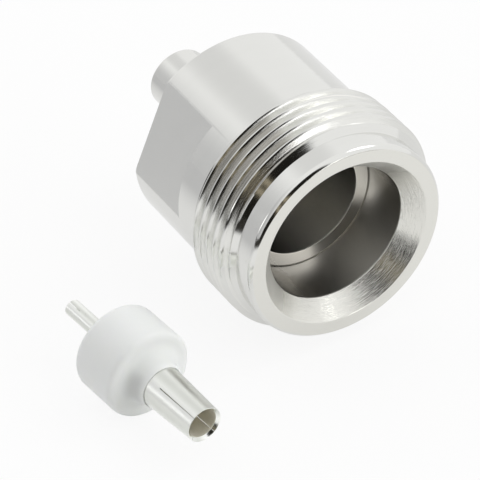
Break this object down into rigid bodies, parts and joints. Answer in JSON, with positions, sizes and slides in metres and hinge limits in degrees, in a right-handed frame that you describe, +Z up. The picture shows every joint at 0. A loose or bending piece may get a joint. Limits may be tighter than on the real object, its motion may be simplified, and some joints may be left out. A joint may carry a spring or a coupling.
{
  "type": "coaxial connector",
  "caption": "Straight coaxial jack: threaded turned body with stepped bore, wrench flats and cable stub, beside its loose insulator bead with slotted socket contact.",
  "frame": {"origin": "on the body's axis, at the flat step at the bottom of the mating bore", "axes": "-Y along the body's axis out of its mouth, +Z up from the surface that the body and its insert lie on, insert on the -X side"},
  "size_m": [0.0323, 0.0335, 0.02],
  "materials": {
    "plated_body": "brass, plated bright silver-white, finely turned",
    "insulator": "white fluoropolymer, matt",
    "contact": "brass, silver plated, satin"
  },
  "bodies": {
    "root": {"connector_body": "plated_body", "insulator": "insulator", "centre_contact": "contact"}
  },
  "joints": []
}
